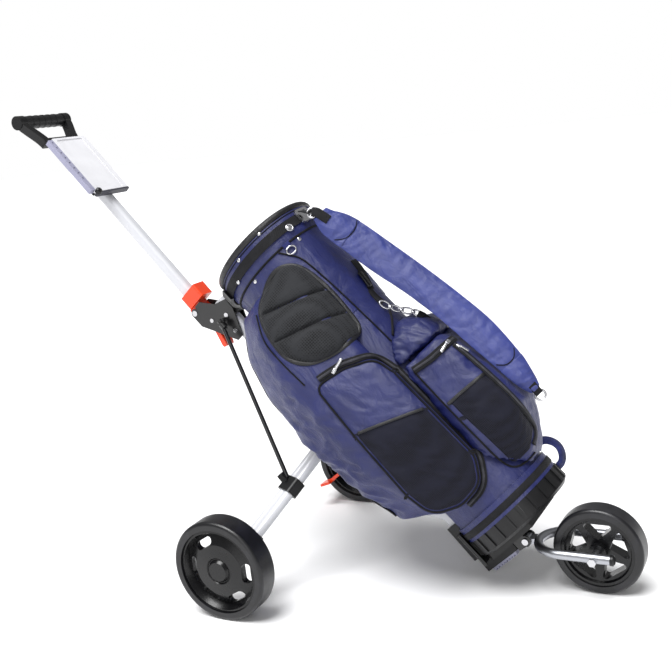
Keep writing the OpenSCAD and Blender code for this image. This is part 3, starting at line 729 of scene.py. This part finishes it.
def panel(name, outline, look, tree, wall, height, step=3.5 * MM, base=None, order=0):
    """A closed panel of cloth on the near face; height(x, y, gap) stands above the surface below it."""
    n = len(outline)
    middle_points, gaps = inside_grid(outline, step)
    points = [Vector(p) for p in outline] + [Vector(p) for p in middle_points]
    gaps = np.concatenate([np.zeros(n), gaps])
    hits, _ = drape(tree, [tuple(p) for p in points])
    back = FACE.inverted()
    z = np.array([(back @ h).z for h in hits])
    if base:
        z = np.array([base(p[0], p[1], v) for p, v in zip(points, z)])
    if order:
        xy = np.array([p[:] for p in points])
        x, y = ((xy - xy.mean(0)) / np.ptp(xy, axis=0)).T
        terms = np.stack([x ** i * y ** j for i in range(order + 1) for j in range(order + 1 - i)], 1)
        z = terms @ np.linalg.lstsq(terms, z, rcond=None)[0]
    edges = [(i, (i + 1) % n) for i in range(n)]
    flat, _, tris, origin, _, _ = geometry.delaunay_2d_cdt(points, edges, [], 1, 1e-7)
    order_of = [o[0] if o else min(range(len(points)), key=lambda k: (points[k] - p).length)
                for o, p in zip(origin, flat)]
    verts = []
    for i, p in enumerate(flat):
        k = order_of[i]
        verts.append(FACE @ Vector((p.x, p.y, z[k] + height(p.x, p.y, gaps[k]))))
    faces = [tuple(f) for f in tris]
    ring = [min(range(len(flat)), key=lambda i: (flat[i] - points[k]).length) for k in range(n)]
    start = len(verts)
    verts += [FACE @ Vector((outline[k][0], outline[k][1], z[k] - wall)) for k in range(n)]
    if Vector(flat[faces[0][1]] - flat[faces[0][0]]).cross(flat[faces[0][2]] - flat[faces[0][0]]) < 0:
        faces = [f[::-1] for f in faces]
    area = sum(Vector(outline[i - 1]).cross(Vector(outline[i])) for i in range(n))
    for k in range(n):
        j = (k + 1) % n
        side = (ring[k], start + k, start + j, ring[j])
        faces.append(side if area > 0 else side[::-1])
    faces.append(tuple(start + k for k in (range(n - 1, -1, -1) if area > 0 else range(n))))
    return make(name, verts, faces, look)


def even(outline, count):
    return [(a, b) for a, b in route([tuple(p) for p in outline], count, closed=True)]


def mm(points):
    return [tuple(c * MM for c in p) for p in points]


# Side pad: three mesh-covered channels with sewn grooves between them
PAD_OUTLINE = mm([(-726, -70), (-738, -20), (-712, 18), (-650, 32), (-570, 30), (-522, 18), (-512, -30),
                  (-532, -98), (-574, -130), (-640, -128), (-696, -108)])
GROOVES = [(Vector((-688, -110)) * MM, Vector((-636, 25)) * MM),
           (Vector((-619, -122)) * MM, Vector((-569, 24)) * MM)]
NEAR_TREE = tree_of(bag_shell, bag_cuff, bag_neck, near)
FRONT_TREE = tree_of(bag_shell, bag_neck, front_low, pouch)


def pad_height(x, y, gap):
    """Three puffed channels with sewn grooves between them."""
    off = min(abs((Vector((x, y)) - a).cross(b - a)) / (b - a).length for a, b in GROOVES)
    crown = 12 * MM * (1 - math.exp(-min(gap, off + 3 * MM) / (9 * MM)))
    groove = 5.0 * MM * math.exp(-(off / (2.4 * MM)) ** 2) * min(1, gap / (6 * MM))
    return 3.5 * MM + crown - groove + 1.6 * MM * crease((x, y, 0), 4.4, 30 * MM, 0.3) * min(1, gap / (10 * MM))


pad_line = even(PAD_OUTLINE, 130)
side_pad = panel("side_pad_mesh", pad_line, PAD_MESH, NEAR_TREE, 14 * MM, pad_height, 2.6 * MM,
                 order=3)
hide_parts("side_pad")
ribbon("side_pad_edge", PAD_OUTLINE, 9 * MM, 2.6 * MM, LINING, NEAR_TREE, closed=True,
       lift=0.5 * MM, count=110)

# Zip pocket on the outside of the bulge
FLAT_TOP = 168 * MM
SIZES = [(-736, 0.63), (-654, 0.85), (-560, 0.96), (-440, 1.0), (-300, 0.97), (-200, 0.9), (-110, 0.78)]


def bulge_size(x):
    return float(np.interp(x / MM, [a for a, _ in SIZES], [b for _, b in SIZES]))


def zip_base(x, y, v):
    return max(v, FLAT_TOP * bulge_size(x) - max(0.0, y - 0.002) * 0.5)


ZIP_OUTLINE = mm([(-497, -134), (-482, -60), (-452, 2), (-400, 12), (-170, 14), (-118, -20), (-112, -80),
                  (-140, -140), (-205, -150), (-360, -144)])
zip_line = even(corners(ZIP_OUTLINE, [26 * MM, 60 * MM, 45 * MM, 40 * MM, 60 * MM, 50 * MM, 50 * MM, 60 * MM,
                                      60 * MM, 60 * MM]), 128)


def pocket_folds(x, y, gap):
    return (5.0 * MM * crease((x, y, 0), 2.7, 38 * MM, 0.9) + 1.2 * MM * noise.noise(Vector((x, y, 3)) * 22)
            ) * min(1, gap / (20 * MM))


def pocket_height(x, y, gap):
    return 1 * MM + 9 * MM * (1 - math.exp(-gap / (16 * MM))) + pocket_folds(x, y, gap)


zip_pocket = panel("zip_pocket_front", zip_line, NAVY, NEAR_TREE, 30 * MM, pocket_height, 3.6 * MM,
                   base=zip_base, order=4)
OVER = tree_of(bag_shell, bag_cuff, bag_neck, near, zip_pocket)
ZIP_TREE = tree_of(zip_pocket)


def inset(line, d):
    """The outline moved inwards by d."""
    pts = [Vector(p) for p in line]
    n = len(pts)
    out = []
    area = sum(pts[i - 1].cross(pts[i]) for i in range(n))
    sign = 1 if area > 0 else -1
    for i in range(n):
        t = (pts[(i + 1) % n] - pts[i - 1]).normalized()
        out.append(tuple(pts[i] + Vector((-t.y, t.x)) * d * sign))
    return out


# Black mesh lower half of the zip pocket, bound along its top edge
MESH_TOP_A, MESH_TOP_B = Vector((-372, -150)) * MM, Vector((-300, 20)) * MM


def clipped(outline, a, b):
    """The part of an outline to the lower side of a line."""
    d = (b - a).normalized()
    out = []
    for i, q in enumerate(outline):
        p, q = Vector(outline[i - 1]), Vector(q)
        over_p, over_q = (p - a).cross(d), (q - a).cross(d)
        if (over_p > 0) != (over_q > 0):
            out.append(p.lerp(q, over_p / (over_p - over_q)))
        if over_q > 0:
            out.append(q)
    return out


def mesh_patch(name, outline, cut_a, cut_b, tree, lift):
    """Mesh cloth over the part of an outline that lies beyond a line, a little slack."""
    line = even(clipped(outline, cut_a, cut_b), 150)
    return panel(name, line, POCKET_MESH, tree, 4 * MM, lambda x, y, gap: lift + 2.2 * MM * min(
        1, gap / (15 * MM)) * (0.5 + crease((x, y, 0), 6.6, 34 * MM, 0.7)), 3.2 * MM)


zip_inner = inset(zip_line, 9 * MM)
mesh_patch("zip_pocket_mesh", zip_inner, MESH_TOP_A, MESH_TOP_B, ZIP_TREE, 1.0 * MM)
ribbon("zip_pocket_binding", [tuple(MESH_TOP_A.lerp(MESH_TOP_B, t)) for t in (0.12, 0.35, 0.65, 0.88)], 6 * MM,
       2.2 * MM, LINING, ZIP_TREE, lift=2.0 * MM, count=40)
# Piping round the pocket's edge and the zip just inside it
cord_on("zip_pocket_piping", inset(zip_line, 4.5 * MM), 2.4 * MM, PIPING, ZIP_TREE,
        closed=True, count=170)


def stretch(line, a, b):
    """Part of a closed outline from the point nearest a to the one nearest b, going forward."""
    near_a = min(range(len(line)), key=lambda i: (Vector(line[i]) - Vector(a) * MM).length)
    near_b = min(range(len(line)), key=lambda i: (Vector(line[i]) - Vector(b) * MM).length)
    if near_b < near_a:
        near_b += len(line)
    return [line[i % len(line)] for i in range(near_a, near_b + 1)]


zip_run = stretch(inset(zip_line, -7 * MM), (-499, -118), (-122, -70))
ribbon("zip_tape", zip_run, 15 * MM, 2.0 * MM, ZIP_TAPE, NEAR_TREE, lift=3 * MM, count=130)
ribbon("zip_teeth", zip_run, 5 * MM, 3.4 * MM, ZIP_TEETH, NEAR_TREE, lift=3.6 * MM, count=130)

# Front pocket: mesh panel, zip band over its top and a long zip along its far edge
front_line = even(corners(mm([(-372, 44), (-366, 140), (-290, 146), (-130, 146), (-98, 104), (-96, 52),
                              (-240, 44)]), 22 * MM), 96)
mesh_patch("front_pocket_mesh", inset(front_line, 5 * MM), Vector((-282, 30)) * MM, Vector((-276, 160)) * MM,
           FRONT_TREE, 1.2 * MM)
ribbon("front_mesh_binding", mm([(-281, 42), (-280, 70), (-278, 100), (-276, 138)]), 7 * MM, 2.4 * MM, LINING,
       FRONT_TREE, lift=1.2 * MM, count=36)
ribbon("front_top_zip", mm([(-380, 40), (-374, 75), (-372, 110), (-372, 148)]), 17 * MM, 3 * MM, ZIP_TAPE,
       FRONT_TREE, lift=1.0 * MM, count=40)
ribbon("front_top_teeth", mm([(-380, 42), (-374, 75), (-372, 110), (-372, 146)]), 5 * MM, 4.6 * MM, ZIP_TEETH,
       FRONT_TREE, lift=1.2 * MM, count=40)
ribbon("front_long_zip", mm([(-362, 138), (-290, 144), (-200, 146), (-130, 140), (-104, 112)]), 14 * MM,
       2.6 * MM,
       ZIP_TAPE, FRONT_TREE, lift=1.0 * MM, count=90)
ribbon("front_long_teeth", mm([(-362, 138), (-290, 144), (-200, 146), (-130, 140), (-106, 114)]), 4.5 * MM,
       4 * MM,
       ZIP_TEETH, FRONT_TREE, lift=1.2 * MM, count=90)
cord_on("front_pocket_piping", mm([(-378, 40), (-300, 38), (-200, 38), (-120, 42), (-92, 62), (-90, 104)]),
        2.2 * MM,
        PIPING, FRONT_TREE, count=90)

# Panel seams of the body
cord_on("panel_seam", mm([(-762, 8), (-742, 22), (-716, 36), (-655, 43), (-560, 48), (-432, 51), (-300, 47)]),
        2.0 * MM, PIPING, NEAR_TREE, count=110)
cord_on("face_seam", mm([(-700, -118), (-640, -142), (-590, -146), (-510, -143)]), 1.8 * MM, PIPING,
        NEAR_TREE, count=60)


# ---------- shoulder strap ----------

# Along the bag, across its near face, out of it, half width
STRAP = mm([(-762, 131, 129, 18), (-745, 132, 127, 24), (-728, 135, 125, 30), (-688, 146, 121, 35.5),
            (-608, 160, 117, 37), (-514, 177, 120, 35), (-423, 189, 125, 34.5), (-342, 195, 128, 35),
            (-262, 196, 128, 29), (-225, 194, 127, 24), (-196, 194, 122, 17), (-182, 194, 118, 11)])


def strap_mesh(name, a, b, count, around, thick, extra, look):
    """Padded strap between two shares of its length; extra makes a patch that lies on it."""
    line = route(STRAP, 240)
    picks = np.linspace(a * 239, b * 239, count)
    rows = np.stack([np.interp(picks, np.arange(240), line[:, k]) for k in range(4)], 1)
    verts, faces = [], []
    for i, (x, e, v, w) in enumerate(rows):
        ahead, behind = rows[min(i + 1, count - 1)], rows[max(i - 1, 0)]
        t = Vector(ahead[:3] - behind[:3]).normalized()
        across = Vector((0, 1, -0.12)).cross(t).cross(t).normalized() * -1
        top = t.cross(across).normalized()
        if top.z < 0:
            top = -top
        for k in range(around):
            ang = 2 * math.pi * k / around
            c, s = math.cos(ang), math.sin(ang)
            wide = math.copysign(abs(c) ** 0.75, c)
            high = math.copysign(abs(s) ** 0.9, s)
            pillow_h = thick * (0.35 + 0.65 * (1 - abs(wide) ** 3))
            fold = crease((x, wide * w * 1.6, 0), 6.3, 30 * MM, 0.35) * 3.2 * MM
            fold += 0.8 * MM * noise.noise(Vector((x * 40, wide * 2, 1.0)))
            p = Vector((x, e, v)) + across * (wide * (w + extra)) + top * (high * (pillow_h + extra)
                                                                             + fold * (1 if s > 0 else 0.3))
            verts.append(FACE @ p)
    for i in range(count - 1):
        for k in range(around):
            faces.append((i * around + k, i * around + (k + 1) % around,
                          (i + 1) * around + (k + 1) % around, (i + 1) * around + k))
    faces += [tuple(range(around - 1, -1, -1)), tuple((count - 1) * around + k for k in range(around))]
    return make(name, verts, faces, look)


strap = strap_mesh("shoulder_strap_pad", 0, 1, 190, 40, 6.5 * MM, 0, NAVY_STRAP)
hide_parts("shoulder_strap")
STRAP_TREE = tree_of(strap)
for name, a, b in (("strap_patch_top", 0.0, 0.135), ("strap_patch_low", 0.875, 1.0)):
    strap_mesh(name, a, b, 36, 40, 6.5 * MM, 0.9 * MM, NAVY_STRAP)
for name, x in (("strap_stitch_top", -685), ("strap_stitch_low", -258)):
    e = float(np.interp(x * MM, [p[0] for p in STRAP], [p[1] for p in STRAP]))
    w = float(np.interp(x * MM, [p[0] for p in STRAP], [p[3] for p in STRAP])) - 3 * MM
    ribbon(name, [((x - 14) * MM, e - w), (x * MM, e - w * 0.4), (x * MM, e + w * 0.4), ((x - 14) * MM, e + w)],
           2.2 * MM, 1.0 * MM, PIPING, STRAP_TREE, lift=0.5 * MM, count=30)

# ---------- small hardware ----------

def spots(tree, points):
    """Places on the near face with the directions out of the surface."""
    return list(zip(*drape(tree, mm(points))))


def turned_parts(name, places, profile, look, around=24):
    """One small turned part at several places; profile is (radius, height) from its rim to its middle."""
    verts, faces = [], []
    for place, axis in places:
        turn = Vector((0, 0, 1)).rotation_difference(axis)
        start = len(verts)
        for radius, height in profile:
            for k in range(around):
                a = 2 * math.pi * k / around
                verts.append(place + turn @ Vector((radius * math.cos(a), radius * math.sin(a), height)) * MM)
        for i in range(len(profile) - 1):
            for k in range(around):
                a, b = start + i * around + k, start + i * around + (k + 1) % around
                faces.append((a, b, b + around, a + around))
        top = start + (len(profile) - 1) * around
        faces += [tuple(range(top, top + around)), tuple(range(start + around - 1, start - 1, -1))]
    return make(name, verts, faces, look)


def wire_loop(name, place, out, along, long, wide, thick):
    """An oval of bright wire lying square to out."""
    along = (along - out * along.dot(out)).normalized()
    side = out.cross(along)
    path = [place + (along * (long / 2 * math.cos(a)) + side * (wide / 2 * math.sin(a))) * MM
            for a in np.linspace(0, 2 * math.pi, 33)[:-1]]
    return sweep(name, path, ring_section(thick * MM, 10), STEEL, closed=True)


def strip(name, points, width, thick, look, up):
    """A loose strip of webbing through points of the near face."""
    path = to(FACE, [p * MM for p in route(points, 30)])
    return sweep(name, path, flat_section(width * MM, thick * MM), look, up=FACE.to_3x3() @ Vector(up))


DOME = [(4.6, -1.5), (4.6, 0.8), (4.0, 1.6), (2.4, 2.2), (0.6, 2.4)]
CUFF_TREE = tree_of(bag_cuff, bag_neck, bag_shell, near, NODES["cuff_strap"])
STUDS = [(-821, 7), (-815, -64), (-786, -98), (-757, 62), (-757, -70)]
turned_parts("snap_studs", spots(CUFF_TREE, STUDS), DOME,
             STEEL)
(ring_place, ring_out), = spots(CUFF_TREE, [(-788, 63)])
wire_loop("snap_ring", ring_place + ring_out * 1.5 * MM, ring_out, DOWN, 15, 15, 1.8)
turned_parts("snap_ring_middle", [(ring_place, ring_out)], [(5.5, -1), (5.5, 0.7), (4.5, 1.2), (0.8, 1.2)],
             STEEL)
# Towel ring on a short tab
(tab_place, tab_out), = spots(NEAR_TREE, [(-748, 32)])
wire_loop("towel_ring", tab_place + tab_out * 4 * MM, tab_out, DOWN, 17, 22, 1.7)
ribbon("towel_ring_tab", mm([(-768, 32), (-762, 32), (-755, 32)]), 18 * MM, 3 * MM, NAVY_WEBBING,
       NEAR_TREE, lift=1 * MM, count=12)
# Black webbing tab and clip beside the strap, and the chain of bright rings and swivels below it
strip("side_clip_webbing", [(-655, 117, 52), (-630, 114, 57), (-606, 108, 62), (-578, 99, 69)], 17, 3.2,
      WEBBING,
      (0, 0.55, 0.83))
ribbon("side_clip", mm([(-622, 103), (-604, 101), (-584, 98)]), 14 * MM, 7 * MM, BLACK_GLOSS,
       NEAR_TREE, lift=2 * MM, count=16)
FACE_OUT = (FACE.to_3x3() @ Vector((0, 0.35, 0.94))).normalized()
for i, ((x, e, v), (dx, de), long, wide) in enumerate([
        ((-530, 97, 82), (1, 0.3), 26, 14), ((-508, 108, 82), (1, 0.55), 24, 12),
        ((-487, 122, 84), (1, 0.9), 26, 14),
        ((-468, 133, 88), (1, 0.2), 20, 12)]):
    wire_loop("clip_ring_%d" % (i + 1), FACE @ (Vector((x, e, v)) * MM), FACE_OUT,
              FACE.to_3x3() @ Vector((dx, de, 0)),
              long, wide, 2.0)
turned_parts("clip_swivels", [(FACE @ (Vector(p) * MM), FACE_OUT) for p in ((-519, 102, 80), (-497, 115, 81),
                                                                          (-476, 129, 84))],
             [(3, -3), (5, -2), (5.4, 0), (5, 2.6), (3, 4)], STEEL)
strip("clip_webbing_upper", [(-578, 96, 73), (-560, 95, 77), (-545, 96, 80), (-536, 97, 81)], 13, 2.4, WEBBING,
      (0, 0.35, 0.94))
strip("clip_webbing_lower", [(-466, 134, 87), (-455, 138, 88), (-446, 139, 88), (-434, 139, 90)], 16, 2.6,
      WEBBING,
      (0, 0.35, 0.94))
strip("clip_strap_cord", [(-520, 98, 78), (-500, 88, 86), (-482, 74, 95), (-468, 62, 101)], 5, 3, WEBBING,
      (0, 0.35, 0.94))


def zip_pull(name, tree, a, b):
    """Slider and tab of a zip, from a towards b."""
    mid = [a[k] + (b[k] - a[k]) * 0.3 for k in (0, 1)]
    ribbon(name + "_slider", mm([a, mid]), 9 * MM, 4.5 * MM, STEEL, tree, lift=3.0 * MM,
           count=8)
    ribbon(name + "_tab", mm([mid, b]), 6 * MM, 1.6 * MM, STEEL, tree, lift=7 * MM, count=10)


zip_pull("near_zip_pull", OVER, (-487, -84), (-496, -50))
zip_pull("pouch_zip_pull", FRONT_TREE, (-374, 134), (-366, 106))
zip_pull("long_zip_pull", FRONT_TREE, (-356, 139), (-330, 146))
# Webbing that joins the strap to its rings
strip("strap_tab_top", [(-800, 108, 104), (-790, 114, 116), (-778, 120, 126)], 22, 3, WEBBING,
      (0.2, 0.6, 0.8))
strip("strap_tab_join", [(-776, 121, 131), (-768, 127, 134), (-752, 131, 134), (-738, 134, 132)], 21, 3,
      WEBBING,
      (0, 0.1, 1))
strip("strap_tab_low", [(-194, 194, 127), (-182, 194, 122), (-170, 194, 116)], 18, 3, WEBBING,
      (0.3, 0, 1))
# Black piping down the back of the near bulge
BACK_EDGE = [FACE @ Vector((x * MM, -233.5 * MM * bulge_size(x * MM), 50 * MM * bulge_size(x * MM)))
             for x in np.linspace(-700, -190, 60)]
back_tree = tree_of(near)
edge_path = []
for q in BACK_EDGE:
    hit, normal, _, _ = back_tree.find_nearest(q)
    edge_path.append(hit + normal * 0.5 * MM)
for _ in range(4):
    edge_path[1:-1] = [edge_path[i] * 0.5 + (edge_path[i - 1] + edge_path[i + 1]) * 0.25
                       for i in range(1, len(edge_path) - 1)]
sweep("back_seam_piping", edge_path, ring_section(3.0 * MM, 10), PIPING)

# ---------- looks off the bag: carry loop ----------

loop_r, loop_w, loop_t = 32.4 * MM, 13 * MM, 1.2 * MM
loop_turns = np.linspace(0, math.pi, 30)
loop_path = [FACE @ Vector((-62 * MM + loop_r * math.cos(a) * (1 + 0.05 * math.sin(3 * a)),
                            SHELL_R + 5.5 * MM + loop_r * math.sin(a), -13 * MM)) for a in loop_turns]
# The webbing leans towards the viewer, so that its flat side shows
loop_out = [FACE.to_3x3() @ Vector((0.78 * math.cos(a), 0.78 * math.sin(a), 0.62)) for a in loop_turns]
carry = sweep("carry_loop_webbing", loop_path,
              [(-loop_w, -loop_t), (-loop_w, loop_t), (loop_w, loop_t), (loop_w, -loop_t)],
              NAVY_WEBBING, up=loop_out)
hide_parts("carry_loop")

# ---------- floor, light, camera ----------

SCENE = bpy.context.scene
SCENE.view_settings.view_transform = "Standard"
low, high = CAD_BOX
mesh = bpy.data.meshes.new("floor")
half = 30
mesh.from_pydata([(-half, -half, 0), (half, -half, 0), (half, half, 0), (-half, half, 0)], [], [(0, 1, 2, 3)])
floor = bpy.data.objects.new("floor", mesh)
SCENE.collection.objects.link(floor)
floor_paint = Paint("floor_paint", (0.93, 0.93, 0.935, 1), rough=0.75, spec=0.2)
floor_paint.tint(floor_paint.maths("MULTIPLY", floor_paint.noise(1.5, 2), 0.1), (0.9, 0.9, 0.905, 1))
mesh.materials.append(floor_paint.mat)

# White behind everything, a softer grey light from all round
world = bpy.data.worlds.new("studio")
world.use_nodes = True
tree = world.node_tree
plain = tree.nodes["Background"]
plain.inputs[0].default_value, plain.inputs[1].default_value = (1, 1, 1, 1), 0.32
behind = tree.nodes.new("ShaderNodeBackground")
behind.inputs[0].default_value, behind.inputs[1].default_value = (1, 1, 1, 1), 1.0
rays, either = tree.nodes.new("ShaderNodeLightPath"), tree.nodes.new("ShaderNodeMixShader")
tree.links.new(rays.outputs["Is Camera Ray"], either.inputs[0])
tree.links.new(plain.outputs[0], either.inputs[1])
tree.links.new(behind.outputs[0], either.inputs[2])
tree.links.new(either.outputs[0], tree.nodes["World Output"].inputs[0])
SCENE.world = world


def sun(name, direction, power, angle):
    data = bpy.data.lights.new(name, "SUN")
    data.energy, data.angle = power, math.radians(angle)
    light = bpy.data.objects.new(name, data)
    light.rotation_euler = Vector(direction).to_track_quat("Z", "Y").to_euler()
    SCENE.collection.objects.link(light)


sun("key", (-0.3, -1.1, 3.0), 4.3, 38)
sun("front", (0.9, -3.0, 1.2), 0.6, 40)

AZIMUTH, ELEVATION, ROLL = (math.radians(a) for a in (29.5, 12.6, 6.5))
AIM = Vector((0.064, 0, 0.540))
DISTANCE = 2.1875
back = Vector((math.sin(AZIMUTH) * math.cos(ELEVATION), -math.cos(AZIMUTH) * math.cos(ELEVATION),
               math.sin(ELEVATION)))
right = Vector((math.cos(AZIMUTH), math.sin(AZIMUTH), 0))
up = back.cross(right)
right_rolled = right * math.cos(ROLL) - up * math.sin(ROLL)
up_rolled = right * math.sin(ROLL) + up * math.cos(ROLL)
camera_data = bpy.data.cameras.new("camera")
camera_data.sensor_width, camera_data.lens = 36, 52.07
camera = bpy.data.objects.new("camera", camera_data)
camera.matrix_world = placed(AIM + back * DISTANCE, right_rolled, up_rolled, back)
SCENE.collection.objects.link(camera)
SCENE.camera = camera
